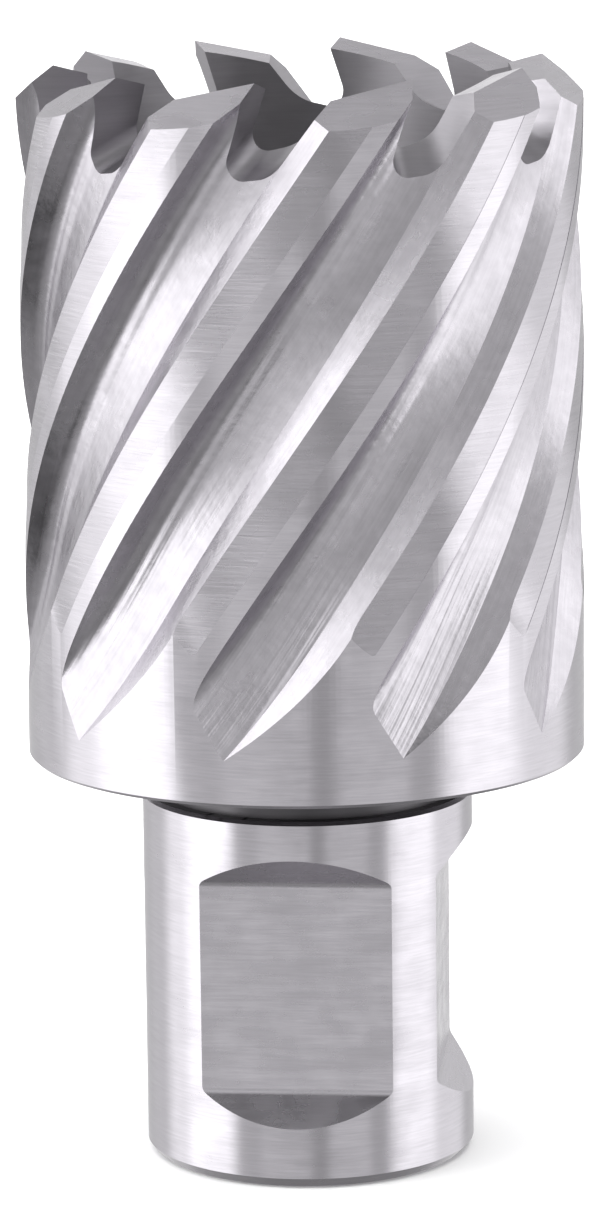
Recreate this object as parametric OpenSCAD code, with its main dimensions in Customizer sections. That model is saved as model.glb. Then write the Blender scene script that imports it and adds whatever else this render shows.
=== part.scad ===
// Annular cutter, ground from one piece of tool steel.
// It stands on the end of its shank, teeth up. The origin is the centre of the shank's end face.
// The two clamping flats lie on either side of -Y.
// Azimuths run from -Y towards +X, which is also the way the teeth cut.

/* [Shank] */
// Diameter of the shank
shank_d = 19.05; // [18:0.05:20]
// Length of the shank from its end face to the undercut
shank_len = 21.4; // [20:0.1:30]
// Chamfer at the end of the shank
shank_chamfer = 0.6; // [0.2:0.1:1.2]
// Distance from the axis to each clamping flat
flat_offset = 7.8; // [7.2:0.05:8.6]
// Length of each clamping flat
flat_len = 12.2; // [8:0.1:13]
// Height of the middle of the flats above the end face
flat_height = 11.35; // [10.5:0.05:12]
// Slope of the ends of the flats, from the flat
flat_end_angle = 45; // [40:1:60]
// Fillet between a flat and its sloped ends
flat_fillet = 0.6; // [0.2:0.1:1.2]
// Angle between the two flats
flat_spread = 90; // [80:5:180]
// Diameter of the undercut between shank and body
undercut_d = 17.4; // [14:0.1:18]
// Length of the undercut
undercut_len = 2.3; // [1:0.1:4]

/* [Body] */
// Cutting diameter
body_d = 32; // [30:0.5:36]
// Length from the lower face of the body to the tooth tips
body_len = 39.6; // [36:0.1:50]
// Broken edges of the body and the shank
edge_break = 0.2; // [0.1:0.05:0.5]
// Diameter of the slug bore
bore_d = 24; // [22:0.1:25]
// Depth of the slug bore from the tooth tips
bore_depth = 32; // [25:0.5:34]
// Chamfer where the slug bore meets its floor
bore_chamfer = 1; // [0.5:0.1:2]
// Diameter of the pilot pin hole
pilot_d = 6.4; // [4:0.1:10]

/* [Flutes] */
// Number of teeth, each with its own flute
tooth_count = 10; // [8:1:10]
// Helix angle at the cutting diameter
helix_angle = 35; // [28:1:38]
// Depth of the flutes at the foot of the leading wall
flute_depth = 1.4; // [1.2:0.05:1.6]
// Depth of the flutes at the foot of the heel wall
heel_depth = 1.15; // [0.9:0.05:1.3]
// Width of the lands, along the cutting diameter
land_w = 3.5; // [3:0.1:4.5]
// Width of the margin at the leading edge of each land
margin_w = 1.25; // [0.8:0.05:2]
// How far the land is relieved at its heel
relief_depth = 0.15; // [0.05:0.01:0.25]
// Slope of the leading wall of a flute, from the radius
lead_wall_angle = 31; // [15:1:40]
// Slope of the heel wall of a flute, from the radius
heel_wall_angle = 55; // [48:1:60]
// How much deeper the middle of a flute's floor lies than a straight line between its corners
floor_sag = 0.2; // [0.1:0.05:0.4]
// Fillet at the foot of the leading wall
flute_fillet = 0.8; // [0.3:0.1:1]
// Height above the body's lower face where the leading edge of a flute runs out
runout_height = 6.5; // [5.5:0.1:9]
// Length over which a flute runs out
runout_len = 8; // [5:0.5:12]
// How much lower the run-out ends for each millimetre across the flute
runout_skew = 0.76; // [0.4:0.02:0.9]
// How far the cutter drifts back as it lifts out
runout_drift = 0.7; // [0:0.1:1]
// Height above the run-out at which the relief of the lands begins
relief_start = 7; // [3:0.5:12]

/* [Teeth] */
// Azimuth of the first tooth tip
tooth_phase = -13.5; // [-18:0.5:18]
// How far the leading edge of a land lags its tooth tip, in degrees at the tip height
land_lag = 1.8; // [0:0.1:5]
// Radial distance from the cutting diameter to the tooth tip
tip_inset = 2.1; // [1.7:0.05:2.5]
// Outward fall of the tooth top
outer_slope = 35; // [20:1:40]
// Inward fall of the tooth top
inner_slope = 14; // [8:1:25]
// Backward fall of the tooth top
top_relief = 12; // [6:1:15]
// Hook of the rake face
rake_angle = 20; // [5:1:25]
// Depth of the gullet below the tooth tip, square to its run
gullet_depth = 4.3; // [3.8:0.05:4.8]
// Radius at the foot of the rake face
gullet_front_r = 0.95; // [0.6:0.05:1.2]
// Radius at the foot of the tooth back
gullet_back_r = 1.8; // [1.2:0.1:2.2]
// Slope of the tooth back
back_slope = 48; // [42:1:55]
// Width of the flat at the bottom of the gullet
gullet_floor = 0.7; // [0.1:0.1:1]
// Outward fall of the gullet
gullet_fall = 27; // [15:1:30]
// How far the gullet's outer end turns back from the radius
gullet_skew = 22; // [0:1:25]

/* [Hidden] */
$fn = 128;
steel = [0.76, 0.76, 0.78];
eps = 0.01;

shank_r = shank_d / 2;
undercut_r = undercut_d / 2;
body_r = body_d / 2;
bore_r = bore_d / 2;
tip_r = body_r - tip_inset;
body_z = shank_len + undercut_len;
height = body_z + body_len;
bore_floor_z = height - bore_depth;

pitch_angle = 360 / tooth_count;
pitch_w = PI * body_d / tooth_count;
lead = PI * body_d / tan(helix_angle);
flute_w = pitch_w - land_w;
relief_w = land_w - margin_w;
lead_wall_w = flute_depth * tan(lead_wall_angle);
heel_wall_w = (heel_depth - relief_depth) * tan(heel_wall_angle);

// Step left at the margin, and how far tool shapes stand clear of the blank
margin_step = 0.02;
clear = 1.5;
small_clear = 0.3;
// Size of the tool shapes that cut the teeth, and how the crest of a tooth turns from the tangent
tool_run = 0.75 * body_r;
tool_rise = 0.25 * body_r;
crest_run = 0.62 * pitch_w;
crest_turn = pitch_angle / 4;
// Steps of the flute sweep: along the run-out and past its end, along the helix, round the fillet,
// across the floor and round the arcs of gullets and flats
runout_steps = 12;
runout_over = 1.12;
helix_step = 1.7;
fillet_steps = 3;
floor_steps = 4;
arc_steps = 6;

// A point on the blank at an angle (degrees), a radius and a height
function polar(angle, radius, z) = [radius * sin(angle), -radius * cos(angle), z];

// The flute's section as [distance across, depth] from the leading edge of the land.
// "relieved" goes from 0 near the run-out to 1 where the land has its full relief,
// and "sunk" goes from 0 at the end of the run-out to 1 where the floor has its full sag and tilt.
function flute_section(relieved, sunk) =
    let (heel_v = relief_depth * relieved - small_clear * (1 - relieved))
    let (heel_u = flute_w + (relief_depth - heel_v) * tan(heel_wall_angle))
    let (margin_v = margin_step * relieved - small_clear * (1 - relieved))
    let (foot_u = flute_w - heel_wall_w)
    let (foot_v = flute_depth + sunk * (heel_depth - flute_depth))
    concat(
        [[-clear * tan(lead_wall_angle), -clear]],
        lead_wall_foot(),
        [for (i = [1 : floor_steps - 1])
            let (t = i / floor_steps)
            let (u = lead_wall_w + t * (foot_u - lead_wall_w))
            let (chord_v = flute_depth + t * (foot_v - flute_depth))
            if (u > lead_wall_w + flute_fillet)
                [u, chord_v + sunk * floor_sag * 4 * t * (1 - t)]],
        [[foot_u, foot_v],
         [heel_u, heel_v],
         [max(flute_w + relief_w, heel_u + eps), margin_v],
         [max(flute_w + relief_w, heel_u + eps), -clear]]);

// The rounded corner between the leading wall and the floor
function lead_wall_foot() =
    let (wall = [-sin(lead_wall_angle), -cos(lead_wall_angle)])
    let (corner = [lead_wall_w, flute_depth])
    [for (i = [0 : fillet_steps])
        let (t = i / fillet_steps)
        corner + flute_fillet * (1 - t) * (1 - t) * wall + flute_fillet * t * t * [1, 0]];

// Sweep positions, as heights of the leading edge of the land
runout_end_z = body_z + runout_height;
runout_full_z = runout_end_z + runout_len;
sweep_top_z = height + clear + (flute_w + relief_w) * runout_skew;
sweep_steps = ceil((sweep_top_z - runout_full_z) / helix_step);
sweep_z = concat(
    [for (i = [0 : runout_steps])
        runout_full_z - runout_len * runout_over * (1 - i / runout_steps)],
    [for (i = [1 : sweep_steps])
        runout_full_z + (sweep_top_z - runout_full_z) * i / sweep_steps]);

// The lift of the flute cutter out of the blank at a sweep position
function lift(z) = z < runout_full_z ? flute_depth * pow((runout_full_z - z) / runout_len, 2) : 0;

// The share of the land's relief at a sweep position
function relieved(z) = min(1, max(0, (z - runout_end_z - relief_start) / helix_step));

// One ring of the flute sweep
function flute_ring(z) =
    let (up = lift(z))
    let (out = min(1, up / flute_depth))
    [for (p = flute_section(relieved(z), 1 - out))
        let (u = p[0] - runout_drift * out)
        let (point_z = z - runout_skew * p[0])
        let (turn = (point_z - height) / lead * 360)
        polar(turn + u / body_r * 180 / PI, body_r - p[1] + up, point_z)];

// The tool shape of one flute, at azimuth 0
module flute() {
    rings = [for (z = sweep_z) flute_ring(z)];
    sides = len(rings[0]);
    last = len(rings) - 1;
    faces = concat(
        [[for (i = [sides - 1 : -1 : 0]) i]],
        [for (k = [0 : last - 1])
            for (i = [0 : sides - 1])
                for (f = [[0, 1, sides + 1], [0, sides + 1, sides]])
                    [for (n = f) k * sides + (n % sides + i) % sides + floor(n / sides) * sides]],
        [[for (i = [0 : sides - 1]) last * sides + i]]);
    polyhedron(points = [for (r = rings) each r], faces = faces, convexity = 6);
}

// The gullet's section: x along the cut, y up, from the tooth tip, which lies on the rake line.
// The rake face leans forward over the front radius, and the back rises from the back radius.
function gullet_section() =
    let (bottom = -gullet_depth)
    let (front_y = bottom + gullet_front_r)
    let (front_x = (gullet_front_r + front_y * sin(rake_angle)) / cos(rake_angle))
    let (back_x = front_x + gullet_floor)
    let (back_y = bottom + gullet_back_r)
    let (back_foot = [back_x + gullet_back_r * sin(back_slope), back_y - gullet_back_r * cos(back_slope)])
    concat(
        [clear * [tan(rake_angle), 1]],
        [for (i = [0 : arc_steps])
            let (a = (90 + rake_angle) * (1 - i / arc_steps))
            [front_x - gullet_front_r * sin(a), front_y - gullet_front_r * cos(a)]],
        [for (i = [0 : arc_steps])
            let (a = back_slope * i / arc_steps)
            [back_x + gullet_back_r * sin(a), back_y - gullet_back_r * cos(a)]],
        [back_foot + (clear - back_foot[1]) * [1 / tan(back_slope), 1]]);

// The tool shape of one gullet, for the tooth whose tip is at azimuth 0
module gullet() {
    translate([0, -tip_r, height])
        rotate([90 + gullet_fall, 0, -gullet_skew])
            linear_extrude(height = tool_run, center = true)
                polygon(gullet_section());
}

// A block whose lower face is one slope of the tooth top, for the tooth whose tip is at azimuth 0
module tooth_top(slope) {
    translate([0, -tip_r, height])
        rotate([0, 0, -crest_turn])
            rotate([0, -top_relief, 0])
                rotate([slope, 0, 0])
                    translate([-crest_run, -tool_run / 2, 0])
                        cube([crest_run + clear, tool_run, tool_rise]);
}

// Everything that is cut away between and over the teeth
module teeth_cuts() {
    for (k = [0 : tooth_count - 1])
        rotate([0, 0, tooth_phase + k * pitch_angle]) {
            gullet();
            tooth_top(outer_slope);
            tooth_top(-inner_slope);
            rotate([0, 0, -land_lag])
                flute();
        }
}

// The turned blank: shank, undercut and body
module blank() {
    rotate_extrude()
        polygon([
            [0, 0],
            [shank_r - shank_chamfer, 0],
            [shank_r, shank_chamfer],
            [shank_r, shank_len - edge_break],
            [shank_r - edge_break, shank_len],
            [undercut_r, shank_len],
            [undercut_r, body_z],
            [body_r - edge_break, body_z],
            [body_r, body_z + edge_break],
            [body_r, height],
            [0, height]]);
}

// The slug bore with its chamfered floor
module slug_bore() {
    rotate_extrude()
        polygon([
            [0, bore_floor_z],
            [bore_r - bore_chamfer, bore_floor_z],
            [bore_r, bore_floor_z + bore_chamfer],
            [bore_r, height + clear],
            [0, height + clear]]);
}

// Half of a clamping flat's section as [distance from the axis, height above its middle]:
// the flat, the fillet at its end and the slope
function half_flat_section() =
    let (fillet_start = flat_len / 2 - flat_fillet * tan(flat_end_angle / 2))
    let (fillet_end = [flat_offset + flat_fillet * (1 - cos(flat_end_angle)),
                       fillet_start + flat_fillet * sin(flat_end_angle)])
    let (rest = shank_r + clear - fillet_end[0])
    concat(
        [for (i = [0 : arc_steps])
            let (a = flat_end_angle * i / arc_steps)
            [flat_offset + flat_fillet * (1 - cos(a)), fillet_start + flat_fillet * sin(a)]],
        [fillet_end + rest * [1, 1 / tan(flat_end_angle)]]);

// The tool shape of a clamping flat that faces -Y
module clamping_flat() {
    half = half_flat_section();
    last = len(half) - 1;
    translate([0, 0, flat_height])
        rotate([90, 0, -90])
            linear_extrude(height = shank_d, center = true)
                polygon(concat(
                    [for (i = [last : -1 : 0]) [half[i][0], -half[i][1]]],
                    half));
}

module cutter() {
    color(steel)
        difference() {
            blank();
            slug_bore();
            translate([0, 0, -clear])
                cylinder(d = pilot_d, h = bore_floor_z + 2 * clear);
            for (side = [-1, 1])
                rotate([0, 0, side * flat_spread / 2])
                    clamping_flat();
            teeth_cuts();
        }
}

cutter();
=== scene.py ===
"""Annular cutter: smooth mesh of the same form as the CAD solid, ground steel, studio light."""
import math

import bmesh
import bpy
from mathutils import Matrix, Vector


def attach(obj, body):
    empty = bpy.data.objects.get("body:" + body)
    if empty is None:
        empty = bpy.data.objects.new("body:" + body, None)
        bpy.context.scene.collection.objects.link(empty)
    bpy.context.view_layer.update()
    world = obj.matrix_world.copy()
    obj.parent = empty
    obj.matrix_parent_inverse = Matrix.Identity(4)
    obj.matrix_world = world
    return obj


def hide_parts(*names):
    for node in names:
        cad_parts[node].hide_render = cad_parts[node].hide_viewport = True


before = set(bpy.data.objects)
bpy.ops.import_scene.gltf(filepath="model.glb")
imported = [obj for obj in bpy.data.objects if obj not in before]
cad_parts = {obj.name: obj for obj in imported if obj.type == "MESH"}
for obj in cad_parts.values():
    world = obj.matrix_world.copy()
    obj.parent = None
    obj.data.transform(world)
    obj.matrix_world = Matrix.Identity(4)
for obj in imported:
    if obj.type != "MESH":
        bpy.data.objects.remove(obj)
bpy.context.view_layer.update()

# Sizes are in millimetres, the same as in the part's source.
# Angles that go into polar() and turn() are in degrees, the others in radians.
MM = 0.001

# Shank and undercut
SHANK_R = 9.525
SHANK_LEN = 21.4
SHANK_CHAMFER = 0.6
UNDERCUT_R = 8.7
UNDERCUT_LEN = 2.3
EDGE_BREAK = 0.2

# Clamping flats on the shank
FLAT_ANGLES = (-45, 45)
FLAT_OFFSET = 7.8
FLAT_LEN = 12.2
FLAT_HEIGHT = 11.35
FLAT_END = math.radians(45)
FLAT_FILLET = 0.6

# Body, slug bore and pilot hole
BODY_R = 16.0
BODY_LEN = 39.6
BORE_R = 12.0
BORE_DEPTH = 32.0
BORE_CHAMFER = 1.0
PILOT_R = 3.2

# Flutes and the lands between them
TEETH = 10
HELIX = math.radians(35)
FLUTE_DEPTH = 1.4
HEEL_DEPTH = 1.15
LEAD_WALL = math.radians(31)
HEEL_WALL = math.radians(55)
FILLET = 0.8
FLOOR_SAG = 0.2
LAND_W = 3.5
MARGIN_W = 1.25
MARGIN_STEP = 0.02
RELIEF_DEPTH = 0.15

# The floor of the flute eases into its hollow over this width; the source has one facet there
FLOOR_EASE = 0.65

# Where flutes and reliefs run out above the collar
RUNOUT_HEIGHT = 6.5
RUNOUT_LEN = 8.0
RUNOUT_SKEW = 0.76
RUNOUT_DRIFT = 0.7
RUNOUT_OVER = 1.12
RELIEF_START = 7.0
RELIEF_BLEND = 1.7

# Teeth and gullets
TOOTH_PHASE = -13.5
LAND_LAG = 1.8
TIP_INSET = 2.1
OUTER_SLOPE = 35.0
INNER_SLOPE = 14.0
TOP_RELIEF = 12.0
RAKE = math.radians(20)
GULLET_DEPTH = 4.3
GULLET_FLOOR = 0.7
GULLET_FALL = 27.0
GULLET_SKEW = 22.0
FRONT_R = 0.95
BACK_R = 1.8
BACK_SLOPE = math.radians(48)

# How far a cutting shape stands past what it cuts, and the least width between two of its points
CLEAR = 1.5
SMALL_CLEAR = 0.3
LEAST_W = 0.01

# Worked out from the sizes above
BODY_Z = SHANK_LEN + UNDERCUT_LEN
HEIGHT = BODY_Z + BODY_LEN
BORE_FLOOR_Z = HEIGHT - BORE_DEPTH
TIP_R = BODY_R - TIP_INSET
PITCH = 360 / TEETH
PITCH_W = 2 * math.pi * BODY_R / TEETH
LEAD = 2 * math.pi * BODY_R / math.tan(HELIX)
FLUTE_W = PITCH_W - LAND_W
RELIEF_W = LAND_W - MARGIN_W
LEAD_WALL_W = FLUTE_DEPTH * math.tan(LEAD_WALL)
HEEL_WALL_W = (HEEL_DEPTH - RELIEF_DEPTH) * math.tan(HEEL_WALL)
RUNOUT_END_Z = BODY_Z + RUNOUT_HEIGHT
RUNOUT_FULL_Z = RUNOUT_END_Z + RUNOUT_LEN
SWEEP_TOP_Z = HEIGHT + CLEAR + (FLUTE_W + RELIEF_W) * RUNOUT_SKEW
# Straight cutting shapes of the teeth: length and height, reach along a crest, turn of the crest
TOOL_RUN = 0.75 * BODY_R
TOOL_RISE = 0.25 * BODY_R
CREST_RUN = 0.62 * PITCH_W
CREST_TURN = PITCH / 4

# Fineness of the smooth mesh: steps round a circle, along an arc and so on, and the height of a helix step
ROUND_STEPS = 320
ARC_STEPS = 20
FILLET_STEPS = 8
FLOOR_STEPS = 16
RUNOUT_STEPS = 40
HELIX_STEP = 0.55
CREASE = math.radians(12)

# Surfaces with their own finish, in the order of the material slots; the bore, groove and gullet steels are
# also darker as painted shade
TURNED, RELIEF, FLOOR, WALL, FLAT, TOOTH, BORE, GROOVE, GULLET = range(9)

# Grain of the steel as shares of the fine grain across its marks:
# along the marks, for fine and coarse ones, and across the coarse ones
FINE_ROUND = 0.05
COARSE_ROUND = 0.03
FINE_FLUTE = 0.03
COARSE_FLUTE = 0.01
COARSE_ACROSS = 0.25
# Fineness of the clouds in the gloss and of the mottling, per millimetre
CLOUD_SCALE = 0.45
MOTTLE_SCALE = 1.6
# The middle range of a noise, and what it is spread over in tint and roughness
NOISE_RANGE = (0.3, 0.7)
SCRATCH_TINT = (0.94, 1.03)
MOTTLE_TINT = (0.94, 1.04)
STREAK_ROUGH = (-0.03, 0.03)
# Furrows left by the milling: grain by direction, and the heights between which they fade
FURROW_GRAIN = (1.8, 1.8, 0.06)
FURROW_FADE = (34.0, 44.0)
# The shade's share by channel, and the turn of the stretched highlights from the grain
STEEL_HUE = (1.0, 0.965, 1.03)
QUARTER_TURN = 0.25


def polar(angle, radius, z):
    """The point at an angle from -Y towards +X."""
    a = math.radians(angle)
    return (radius * math.sin(a), -radius * math.cos(a), z)


def turn(x=0.0, y=0.0, z=0.0):
    """The rotation that turns about X, then Y, then Z, in degrees."""
    return (Matrix.Rotation(math.radians(z), 4, "Z") @ Matrix.Rotation(math.radians(y), 4, "Y")
            @ Matrix.Rotation(math.radians(x), 4, "X"))


def solid(name, points, faces, kinds, place=None):
    """A closed mesh object from points in millimetres, faces and the kind of surface of each face."""
    mesh = bpy.data.meshes.new(name)
    place = place or Matrix()
    mesh.from_pydata([(place @ Vector(p)) * MM for p in points], [], faces)
    for material in MATERIALS:
        mesh.materials.append(material)
    mesh.polygons.foreach_set("material_index", kinds)
    bm = bmesh.new()
    bm.from_mesh(mesh)
    bmesh.ops.recalc_face_normals(bm, faces=bm.faces)
    bm.to_mesh(mesh)
    bm.free()
    obj = bpy.data.objects.new(name, mesh)
    bpy.context.scene.collection.objects.link(obj)
    return obj


def lathe(name, profile, kinds):
    """A turned solid. The profile runs from the axis out and back to it, and each span has a kind."""
    points = [(0, 0, profile[0][1]), (0, 0, profile[-1][1])]
    inner = profile[1:-1]
    for r, z in inner:
        points += [polar(360 * i / ROUND_STEPS, r, z) for i in range(ROUND_STEPS)]
    faces, marks = [], []
    for i in range(ROUND_STEPS):
        j = (i + 1) % ROUND_STEPS
        faces.append((0, 2 + j, 2 + i))
        marks.append(kinds[0])
        for k in range(len(inner) - 1):
            a = 2 + k * ROUND_STEPS
            b = a + ROUND_STEPS
            faces.append((a + i, a + j, b + j, b + i))
            marks.append(kinds[k + 1])
        last = 2 + (len(inner) - 1) * ROUND_STEPS
        faces.append((last + i, last + j, 1))
        marks.append(kinds[-1])
    return solid(name, points, faces, marks)


def prism(name, section, length, place, kind):
    """A section extruded both ways along its own Z."""
    n = len(section)
    points = [(x, y, -length / 2) for x, y in section] + [(x, y, length / 2) for x, y in section]
    faces = [tuple(range(n - 1, -1, -1)), tuple(range(n, 2 * n))]
    faces += [(i, (i + 1) % n, n + (i + 1) % n, n + i) for i in range(n)]
    return solid(name, points, faces, [kind] * len(faces), place)


def blank():
    """The turned blank: shank, undercut and plain body."""
    e = EDGE_BREAK
    profile = [
        (0, 0),
        (SHANK_R - SHANK_CHAMFER, 0),
        (SHANK_R, SHANK_CHAMFER),
        (SHANK_R, SHANK_LEN - e),
        (SHANK_R - e, SHANK_LEN),
        (UNDERCUT_R, SHANK_LEN),
        (UNDERCUT_R, BODY_Z),
        (BODY_R - e, BODY_Z),
        (BODY_R, BODY_Z + e),
        (BODY_R, HEIGHT),
        (0, HEIGHT),
    ]
    # The shank's top face, the undercut and the body's underside take the dark groove steel, which is
    # painted shade under the body
    kinds = [TURNED, TURNED, TURNED, TURNED, GROOVE, GROOVE, GROOVE, TURNED, TURNED, TOOTH]
    return lathe("cutter_steel", profile, kinds)


def slug_bore():
    top = HEIGHT + CLEAR
    profile = [
        (0, BORE_FLOOR_Z),
        (BORE_R - BORE_CHAMFER, BORE_FLOOR_Z),
        (BORE_R, BORE_FLOOR_Z + BORE_CHAMFER),
        (BORE_R, top),
        (0, top),
    ]
    return lathe("slug_bore", profile, [BORE] * 4)


def pilot_hole():
    low = -CLEAR
    high = BORE_FLOOR_Z + CLEAR
    return lathe("pilot_hole", [(0, low), (PILOT_R, low), (PILOT_R, high), (0, high)], [BORE] * 3)


def clamping_flat(angle):
    """The cutter of a flat with sloped ends and a fillet at their foot."""
    start = FLAT_LEN / 2 - FLAT_FILLET * math.tan(FLAT_END / 2)
    half = []
    for i in range(ARC_STEPS + 1):
        a = FLAT_END * i / ARC_STEPS
        half.append((FLAT_OFFSET + FLAT_FILLET * (1 - math.cos(a)), start + FLAT_FILLET * math.sin(a)))
    x, y = half[-1]
    half.append((SHANK_R + CLEAR, y + (SHANK_R + CLEAR - x) / math.tan(FLAT_END)))
    section = [(x, -y) for x, y in reversed(half)] + half
    place = turn(z=angle) @ Matrix.Translation((0, 0, FLAT_HEIGHT)) @ turn(90, 0, -90)
    return prism("clamping_flat", section, 2 * SHANK_R, place, FLAT)


def tooth_tip(angle):
    """The place of a tooth's tip, turned with the tooth."""
    return turn(z=angle) @ Matrix.Translation((0, -TIP_R, HEIGHT))


def gullet(angle):
    """The cutter in front of a tooth: its rake face, a rounded floor and the back slope of the one ahead."""
    front_y = FRONT_R - GULLET_DEPTH
    front_x = (FRONT_R + front_y * math.sin(RAKE)) / math.cos(RAKE)
    back_x = front_x + GULLET_FLOOR
    back_y = BACK_R - GULLET_DEPTH
    section = [(CLEAR * math.tan(RAKE), CLEAR)]
    for i in range(ARC_STEPS + 1):
        a = (math.pi / 2 + RAKE) * (1 - i / ARC_STEPS)
        section.append((front_x - FRONT_R * math.sin(a), front_y - FRONT_R * math.cos(a)))
    for i in range(ARC_STEPS + 1):
        a = BACK_SLOPE * i / ARC_STEPS
        section.append((back_x + BACK_R * math.sin(a), back_y - BACK_R * math.cos(a)))
    x, y = section[-1]
    section.append((x + (CLEAR - y) / math.tan(BACK_SLOPE), CLEAR))
    place = tooth_tip(angle) @ turn(90 + GULLET_FALL, 0, -GULLET_SKEW)
    return prism("gullet", section, TOOL_RUN, place, GULLET)


def tooth_top(angle, slope):
    """The cutter of one of the two slopes that meet in a tooth's crest."""
    y = TOOL_RUN / 2
    section = [(-CREST_RUN, -y), (CLEAR, -y), (CLEAR, y), (-CREST_RUN, y)]
    place = (tooth_tip(angle) @ turn(z=-CREST_TURN) @ turn(y=-TOP_RELIEF) @ turn(x=slope)
             @ Matrix.Translation((0, 0, TOOL_RISE / 2)))
    return prism("tooth_top", section, TOOL_RISE, place, TOOTH)


def flute_section(relieved, sunk):
    """Points [distance across, depth] of the flute's section, and the kind of the span that follows each."""
    heel_v = RELIEF_DEPTH * relieved - SMALL_CLEAR * (1 - relieved)
    heel_u = FLUTE_W + (RELIEF_DEPTH - heel_v) * math.tan(HEEL_WALL)
    margin_v = MARGIN_STEP * relieved - SMALL_CLEAR * (1 - relieved)
    margin_u = max(FLUTE_W + RELIEF_W, heel_u + LEAST_W)
    foot_u = FLUTE_W - HEEL_WALL_W
    foot_v = FLUTE_DEPTH + sunk * (HEEL_DEPTH - FLUTE_DEPTH)
    floor_w = foot_u - LEAD_WALL_W
    points = [(-CLEAR * math.tan(LEAD_WALL), -CLEAR)]
    kinds = [WALL]
    for i in range(FILLET_STEPS + 1):
        t = i / FILLET_STEPS
        a = FILLET * (1 - t) ** 2
        b = FILLET * t * t
        points.append((LEAD_WALL_W - a * math.sin(LEAD_WALL) + b, FLUTE_DEPTH - a * math.cos(LEAD_WALL)))
        kinds.append(FLOOR)
    for i in range(1, FLOOR_STEPS):
        u = FILLET + (floor_w - FILLET) * i / FLOOR_STEPS
        t = u / floor_w
        ease = min(1.0, (u - FILLET) / FLOOR_EASE)
        drop = t * (foot_v - FLUTE_DEPTH) + sunk * FLOOR_SAG * 4 * t * (1 - t)
        points.append((LEAD_WALL_W + u, FLUTE_DEPTH + drop * ease * ease * (3 - 2 * ease)))
        kinds.append(FLOOR)
    points += [(foot_u, foot_v), (heel_u, heel_v), (margin_u, margin_v), (margin_u, -CLEAR)]
    kinds += [WALL, RELIEF, TURNED, TURNED]
    return points, kinds


def flute(angle):
    """The cutter of a flute and of the relief beside it, swept along the helix from its run-out up."""
    sweep = SWEEP_TOP_Z - RUNOUT_FULL_Z
    steps = math.ceil(sweep / HELIX_STEP)
    runout = RUNOUT_LEN * RUNOUT_OVER
    heights = [RUNOUT_FULL_Z - runout * (1 - i / RUNOUT_STEPS) for i in range(RUNOUT_STEPS + 1)]
    heights += [RUNOUT_FULL_Z + sweep * i / steps for i in range(1, steps + 1)]
    points, faces, marks = [], [], []
    for z in heights:
        up = FLUTE_DEPTH * ((RUNOUT_FULL_Z - z) / RUNOUT_LEN) ** 2 if z < RUNOUT_FULL_Z else 0.0
        out = min(1.0, up / FLUTE_DEPTH)
        relieved = min(1.0, max(0.0, (z - RUNOUT_END_Z - RELIEF_START) / RELIEF_BLEND))
        section, kinds = flute_section(relieved, 1 - out)
        for u, v in section:
            point_z = z - RUNOUT_SKEW * u
            at = angle + (point_z - HEIGHT) / LEAD * 360 + math.degrees((u - RUNOUT_DRIFT * out) / BODY_R)
            points.append(polar(at, BODY_R - v + up, point_z))
    n = len(kinds)
    for k in range(len(heights) - 1):
        for i in range(n):
            j = (i + 1) % n
            a, b, c, d = k * n + i, k * n + j, (k + 1) * n + j, (k + 1) * n + i
            faces += [(a, b, c), (a, c, d)]
            marks += [kinds[i], kinds[i]]
    faces += [tuple(range(n - 1, -1, -1)), tuple(range(len(points) - n, len(points)))]
    marks += [WALL, WALL]
    return solid("flute", points, faces, marks)


def carve(body, tools):
    """Cuts all the tool shapes out of the body and shades it smooth between creases."""
    group = bpy.data.collections.new("tools")
    bpy.context.scene.collection.children.link(group)
    for tool in tools:
        bpy.context.scene.collection.objects.unlink(tool)
        group.objects.link(tool)
    cut = body.modifiers.new("cut", "BOOLEAN")
    cut.operation = "DIFFERENCE"
    cut.solver = "MANIFOLD"
    cut.operand_type = "COLLECTION"
    cut.collection = group
    graph = bpy.context.evaluated_depsgraph_get()
    mesh = bpy.data.meshes.new_from_object(body.evaluated_get(graph))
    body.modifiers.clear()
    old = body.data
    body.data = mesh
    bpy.data.meshes.remove(old)
    for tool in tools:
        data = tool.data
        bpy.data.objects.remove(tool)
        bpy.data.meshes.remove(data)
    bpy.data.collections.remove(group)
    mesh.shade_smooth()
    mesh.set_sharp_from_angle(angle=CREASE)


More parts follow.
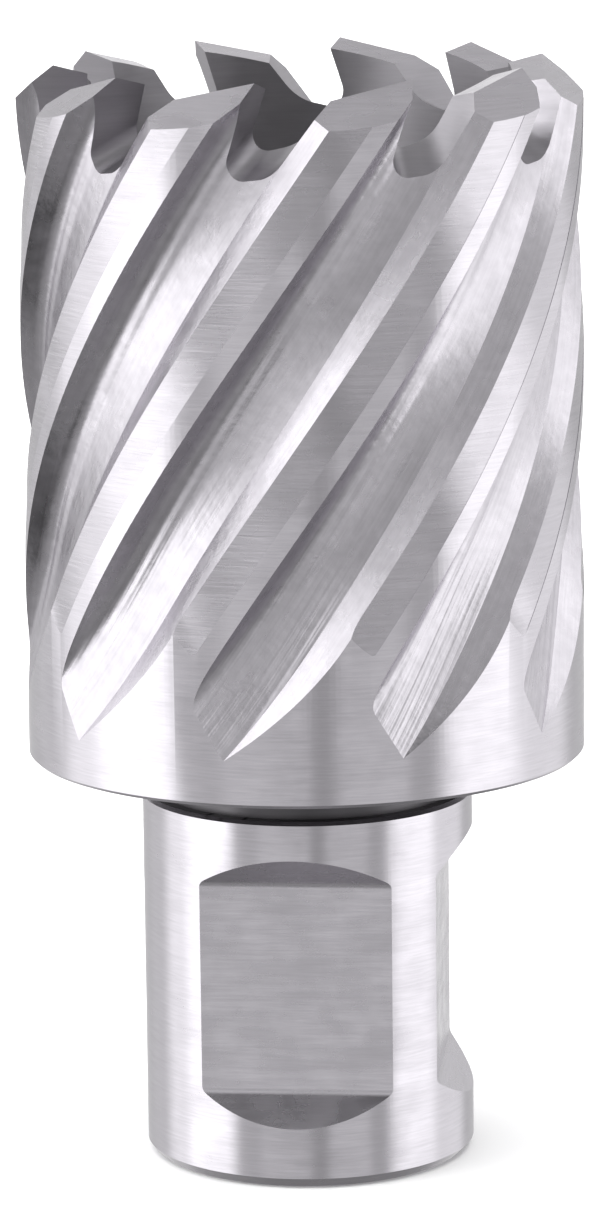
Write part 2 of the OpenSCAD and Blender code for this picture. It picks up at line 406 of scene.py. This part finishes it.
class Nodes:
    """Short ways to add shader nodes to a tree."""

    def __init__(self, tree):
        self.tree = tree

    def add(self, kind, inputs=(), **settings):
        node = self.tree.nodes.new(kind)
        for name, value in settings.items():
            setattr(node, name, value)
        for key, value in dict(inputs).items():
            self.put(node.inputs[key], value)
        return node

    def put(self, socket, value):
        if isinstance(value, bpy.types.NodeSocket):
            self.tree.links.new(value, socket)
        else:
            socket.default_value = value

    def math(self, operation, a, b=0.0, c=0.0):
        return self.add("ShaderNodeMath", {0: a, 1: b, 2: c}, operation=operation).outputs[0]

    def vector(self, operation, a, b=(0, 0, 0)):
        return self.add("ShaderNodeVectorMath", {0: a, 1: b}, operation=operation).outputs[0]

    def scaled(self, vector, factor):
        return self.add("ShaderNodeVectorMath", {0: vector, "Scale": factor}, operation="SCALE").outputs[0]

    def turned(self, vector, angle):
        inputs = {"Vector": vector, "Angle": angle}
        return self.add("ShaderNodeVectorRotate", inputs, rotation_type="Z_AXIS").outputs[0]

    def span(self, value, low, high, to_low, to_high):
        inputs = {0: value, 1: low, 2: high, 3: to_low, 4: to_high}
        return self.add("ShaderNodeMapRange", inputs).outputs[0]

    def ease(self, value, start, end):
        """0 at the start and 1 at the end, with a soft curve between."""
        inputs = {0: value, 1: start, 2: end}
        return self.add("ShaderNodeMapRange", inputs, interpolation_type="SMOOTHSTEP").outputs[0]

    def window(self, value, low, high, soft_low, soft_high):
        """1 between low and high, falling to 0 over the soft edges outside."""
        rise = self.ease(value, low - soft_low, low)
        fall = self.ease(value, high + soft_high, high)
        return self.math("MULTIPLY", rise, fall)

    def mix(self, factor, a, b):
        return self.add("ShaderNodeMix", {"Factor": factor, "A": a, "B": b}).outputs["Result"]

    def noise(self, vector, scale, detail=2.0, rough=0.5):
        inputs = {"Vector": vector, "Scale": scale, "Detail": detail, "Roughness": rough}
        return self.add("ShaderNodeTexNoise", inputs).outputs["Fac"]

    def bump(self, height, distance, under=None):
        """A bump of a height in millimetres, on top of another one if that is given."""
        inputs = {"Strength": 1.0, "Distance": distance * MM, "Height": height}
        if under is not None:
            inputs["Normal"] = under
        return self.add("ShaderNodeBump", inputs).outputs[0]


def steel(name, shade, rough, grain, depth, helical=False, stretch=0.5, cloud=0.05, furrow=0.0, wave=0.0):
    """Ground steel. The grain runs round the axis, or along the flutes.

    Depth, furrow and wave are heights of bumps in millimetres: of the grain, of furrows along the
    flutes near their run-outs, and of a mottling all over. Stretch draws the highlights out, and
    cloud is how far the roughness wanders.
    """
    material = bpy.data.materials.new(name)
    material.use_nodes = True
    material.node_tree.nodes.clear()
    n = Nodes(material.node_tree)
    place = n.scaled(n.add("ShaderNodeTexCoord").outputs["Object"], 1 / MM)
    z = n.add("ShaderNodeSeparateXYZ", {0: place}).outputs["Z"]
    if helical:
        untwisted = n.turned(place, n.math("MULTIPLY", z, -2 * math.pi / LEAD))
        outward = n.vector("NORMALIZE", n.vector("MULTIPLY", untwisted, (1, 1, 0)))
        upward = n.add("ShaderNodeCombineXYZ", {"Z": z}).outputs[0]
        unrolled = n.vector("ADD", n.vector("MULTIPLY", outward, (BODY_R,) * 3), upward)
        coarse_grain = grain * COARSE_ACROSS
        fine = n.vector("MULTIPLY", unrolled, (grain, grain, grain * FINE_FLUTE))
        coarse = n.vector("MULTIPLY", unrolled, (coarse_grain, coarse_grain, grain * COARSE_FLUTE))
    else:
        fine = n.vector("MULTIPLY", place, (grain * FINE_ROUND, grain * FINE_ROUND, grain))
        coarse_grain = grain * COARSE_ROUND
        coarse = n.vector("MULTIPLY", place, (coarse_grain, coarse_grain, grain * COARSE_ACROSS))
    scratches = n.noise(fine, scale=1.0, detail=3.0, rough=0.6)
    streaks = n.noise(coarse, scale=1.0)
    clouds = n.noise(place, CLOUD_SCALE, detail=3.0)
    bump = n.bump(n.math("ADD", scratches, streaks), depth)
    if furrow:
        broad = n.noise(n.vector("MULTIPLY", unrolled, FURROW_GRAIN), scale=1.0, rough=0.6)
        bump = n.bump(n.math("MULTIPLY", broad, n.span(z, *FURROW_FADE, 1, 0)), furrow, bump)
    cloudy = n.span(clouds, *NOISE_RANGE, rough - cloud, rough + cloud)
    roughness = n.math("ADD", cloudy, n.span(streaks, *NOISE_RANGE, *STREAK_ROUGH))
    tint = n.span(scratches, *NOISE_RANGE, *SCRATCH_TINT)
    if wave:
        mottle = n.noise(place, MOTTLE_SCALE, detail=3.0)
        tint = n.math("MULTIPLY", tint, n.span(mottle, *NOISE_RANGE, *MOTTLE_TINT))
        bump = n.bump(mottle, wave, bump)
    colour = n.scaled(tuple(shade * part for part in STEEL_HUE), tint)
    normal = n.add("ShaderNodeNewGeometry").outputs["Normal"]
    along = n.vector("NORMALIZE", n.vector("CROSS_PRODUCT", (0, 0, 1), normal))
    if helical:
        leaning = n.vector("MULTIPLY", along, (math.tan(HELIX),) * 3)
        along = n.vector("NORMALIZE", n.vector("ADD", leaning, (0, 0, 1)))
    shader = n.add("ShaderNodeBsdfPrincipled", {
        "Base Color": colour,
        "Metallic": 1.0,
        "Roughness": roughness,
        "Anisotropic": stretch,
        "Anisotropic Rotation": QUARTER_TURN,
        "Tangent": along,
        "Normal": bump,
    })
    n.add("ShaderNodeOutputMaterial", {"Surface": shader.outputs[0]})
    return material


# Steel by kind of surface: shade, roughness, grain across the marks, depth of the marks. The low shades of
# the bore, groove and gullet are painted shade in those hollows
MATERIALS = [
    steel("steel_turned", 0.70, 0.22, 9.0, 0.0025, stretch=0.75),
    steel("steel_relief", 0.62, 0.26, 7.0, 0.018, stretch=0.8),
    steel("steel_flute", 0.66, 0.30, 5.0, 0.003, helical=True, cloud=0.06, furrow=0.06, wave=0.02),
    steel("steel_wall", 0.65, 0.27, 6.0, 0.002, helical=True, wave=0.015),
    steel("steel_flat", 0.76, 0.26, 8.0, 0.004, stretch=0.8),
    steel("steel_tooth", 0.64, 0.28, 8.0, 0.003, stretch=0.3),
    # The bore steel, in the slug bore and the pilot hole, is darker than the rest: painted shade inside the
    # cup
    steel("steel_bore_painted_shade", 0.40, 0.46, 6.0, 0.003, stretch=0.98),
    # The groove steel is far darker than the rest: painted shade under the body's overhang
    steel("steel_groove_painted_shade", 0.16, 0.40, 6.0, 0.003, stretch=0.4),
    # The gullet steel is darker than the rest: painted shade in the hollows in front of the teeth
    steel("steel_gullet_painted_shade", 0.44, 0.46, 6.0, 0.003, stretch=0.2),
]

# The cutter, one piece
body = blank()
tools = [slug_bore(), pilot_hole()]
tools += [clamping_flat(angle) for angle in FLAT_ANGLES]
for k in range(TEETH):
    at = TOOTH_PHASE + k * PITCH
    tools += [gullet(at), tooth_top(at, OUTER_SLOPE), tooth_top(at, -INNER_SLOPE), flute(at - LAND_LAG)]
carve(body, tools)
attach(body, "root")
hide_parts("cutter")

# Floor of plain paper, in metres, not mirrored in the metal
FLOOR_HALF = 20.0
PAPER_GREY = 0.9
floor_mesh = bpy.data.meshes.new("floor")
floor_corners = [(FLOOR_HALF * x, FLOOR_HALF * y, 0) for x, y in ((-1, -1), (1, -1), (1, 1), (-1, 1))]
floor_mesh.from_pydata(floor_corners, [], [(0, 1, 2, 3)])
floor = bpy.data.objects.new("floor", floor_mesh)
bpy.context.scene.collection.objects.link(floor)
paper = bpy.data.materials.new("paper")
paper.use_nodes = True
paper_inputs = paper.node_tree.nodes["Principled BSDF"].inputs
paper_inputs["Base Color"].default_value = (PAPER_GREY, PAPER_GREY, PAPER_GREY, 1)
paper_inputs["Roughness"].default_value = 1.0
paper_inputs["Specular IOR Level"].default_value = 0.0
floor_mesh.materials.append(paper)
floor.visible_glossy = False

# Camera, fitted to the photo. Its azimuth is counted from -Y, its distance and aim are in millimetres,
# and its focal length and the picture's height are in the photo's pixels.
CAM_AZ = math.radians(-39.44)
CAM_EL = math.radians(11.24)
CAM_ROLL = math.radians(-0.659)
CAM_DIST = 305.2
AIM_X = -0.247
AIM_Z = 31.63
FOCAL_PX = 5313.0
PHOTO_H = 1222
SENSOR_H = 36.0
spin = Matrix.Rotation(CAM_AZ, 3, "Z")
ahead = spin @ Vector((0, math.cos(CAM_EL), -math.sin(CAM_EL)))
across = spin @ Vector((1, 0, 0))
above = spin @ Vector((0, math.sin(CAM_EL), math.cos(CAM_EL)))
right = math.cos(CAM_ROLL) * across + math.sin(CAM_ROLL) * above
upward = -math.sin(CAM_ROLL) * across + math.cos(CAM_ROLL) * above
spot = (spin @ Vector((AIM_X, 0, 0)) + Vector((0, 0, AIM_Z)) - CAM_DIST * ahead) * MM
cam_data = bpy.data.cameras.new("camera")
cam_data.sensor_fit = "VERTICAL"
cam_data.sensor_height = SENSOR_H
cam_data.lens = FOCAL_PX * SENSOR_H / PHOTO_H
cam_data.clip_start = 0.01
cam_data.clip_end = 100.0
cam = bpy.data.objects.new("camera", cam_data)
cam.matrix_world = Matrix.Translation(spot) @ Matrix((right, upward, -ahead)).transposed().to_4x4()
bpy.context.scene.collection.objects.link(cam)
bpy.context.scene.camera = cam

# Studio round the object: a grey wall, with a dim ceiling and a darker ground.
# The pairs are the elevations, in degrees, over which one goes into the other.
GREY = 0.68
CEILING = 0.28
GROUND_NEAR = 0.36
GROUND_DEEP = 0.22
CEILING_EDGE = (48, 60)
GROUND_EDGE = (-20, -27)
GROUND_FADE = (-45, -75)
# Soft boxes and cards, each over those before it. Azimuth is counted from the camera, in degrees:
# azimuth from and to, elevation from and to, soft edge across, below and above, level
PATCHES = [
    # darker wall behind
    (-190, -150, -36, 40, 14, 8, 8, 0.60),
    (146, 190, -36, 40, 14, 8, 8, 0.58),
    # soft boxes at the left
    (-108, -66, -18, 38, 18, 7, 12, 1.25),
    (-140, -66, 2, 32, 16, 5, 12, 1.5),
    (-124, -100, 36, 52, 8, 6, 8, 1.2),
    (-86, -65, -18, 38, 16, 7, 12, 1.8),
    # soft boxes at the right
    (68, 108, -18, 38, 18, 7, 12, 1.5),
    (104, 126, -20, 36, 14, 8, 8, 1.0),
    (118, 150, 8, 34, 10, 6, 8, 1.0),
    (80, 108, 40, 54, 8, 6, 8, 0.9),
    # a light and a dark card in front, and three narrow dark ones
    (-62, -26, 6, 20, 10, 6, 6, 1.15),
    (-14, 34, 2, 24, 10, 5, 8, 0.42),
    (-46, -40, -20, 4, 9, 4, 4, 0.55),
    (5, 8, -20, 20, 7, 5, 5, 0.4),
    (46, 52, -20, 4, 7, 4, 4, 0.48),
    # low in front
    (-50, 6, -58, -40, 10, 4, 7, 0.32),
    (-40, 10, -40, -28, 10, 6, 6, 0.18),
    # high in front and at the right
    (-8, 58, 46, 58, 10, 6, 8, 0.1),
    (-4, 58, 27, 46, 10, 6, 6, 0.55),
    (34, 78, 60, 72, 8, 6, 6, 0.5),
    # high at the left, a dark card with a small bright box
    (-110, -70, 46, 58, 8, 6, 6, 0.3),
    (-82, -54, 46, 56, 6, 5, 6, 8.0),
    # overhead
    (-190, 190, 76, 90, 1, 8, 1, 0.62),
    # dark ground at the right and at the left
    (60, 140, -90, -38, 16, 8, 8, 0.2),
    (66, 112, -72, -48, 12, 8, 8, 0.08),
    (-78, -34, -78, -56, 10, 6, 6, 0.06),
    # lighter strip straight behind
    (-190, -172, -20, 20, 6, 8, 8, 0.95),
    (172, 190, -20, 20, 6, 8, 8, 0.95),
]


def studio():
    """The world, whose level of light depends on azimuth and elevation."""
    world = bpy.data.worlds.new("studio")
    bpy.context.scene.world = world
    world.use_nodes = True
    world.node_tree.nodes.clear()
    n = Nodes(world.node_tree)
    way = n.turned(n.add("ShaderNodeTexCoord").outputs["Generated"], -CAM_AZ)
    parts = n.add("ShaderNodeSeparateXYZ", {0: way}).outputs
    azimuth = n.math("DEGREES", n.math("ARCTAN2", parts["X"], n.math("MULTIPLY", parts["Y"], -1.0)))
    elevation = n.math("DEGREES", n.math("ARCSINE", parts["Z"]))
    ground = n.mix(n.span(elevation, *GROUND_FADE, 0, 1), GROUND_NEAR, GROUND_DEEP)
    level = n.mix(n.span(elevation, *GROUND_EDGE, 0, 1), GREY, ground)
    level = n.mix(n.span(elevation, *CEILING_EDGE, 0, 1), level, CEILING)
    for az0, az1, el0, el1, soft, soft_low, soft_high, value in PATCHES:
        inside_az = n.window(azimuth, az0, az1, soft, soft)
        inside_el = n.window(elevation, el0, el1, soft_low, soft_high)
        level = n.mix(n.math("MULTIPLY", inside_az, inside_el), level, value)
    glow = n.add("ShaderNodeBackground", {"Color": (1, 1, 1, 1), "Strength": level})
    n.add("ShaderNodeOutputWorld", {"Surface": glow.outputs[0]})


studio()

# A wide lamp overhead, in metres and watts, that whitens the floor and isn't mirrored in the metal
LAMP_SIZE = 4.0
LAMP_HEIGHT = 2.5
LAMP_ENERGY = 120.0
lamp_data = bpy.data.lights.new("floor_lamp", "AREA")
lamp_data.shape = "DISK"
lamp_data.size = LAMP_SIZE
lamp_data.energy = LAMP_ENERGY
lamp = bpy.data.objects.new("floor_lamp", lamp_data)
lamp.location = (0, 0, LAMP_HEIGHT)
lamp.visible_glossy = False
lamp.visible_camera = False
bpy.context.scene.collection.objects.link(lamp)
bpy.context.scene.view_settings.view_transform = "Standard"
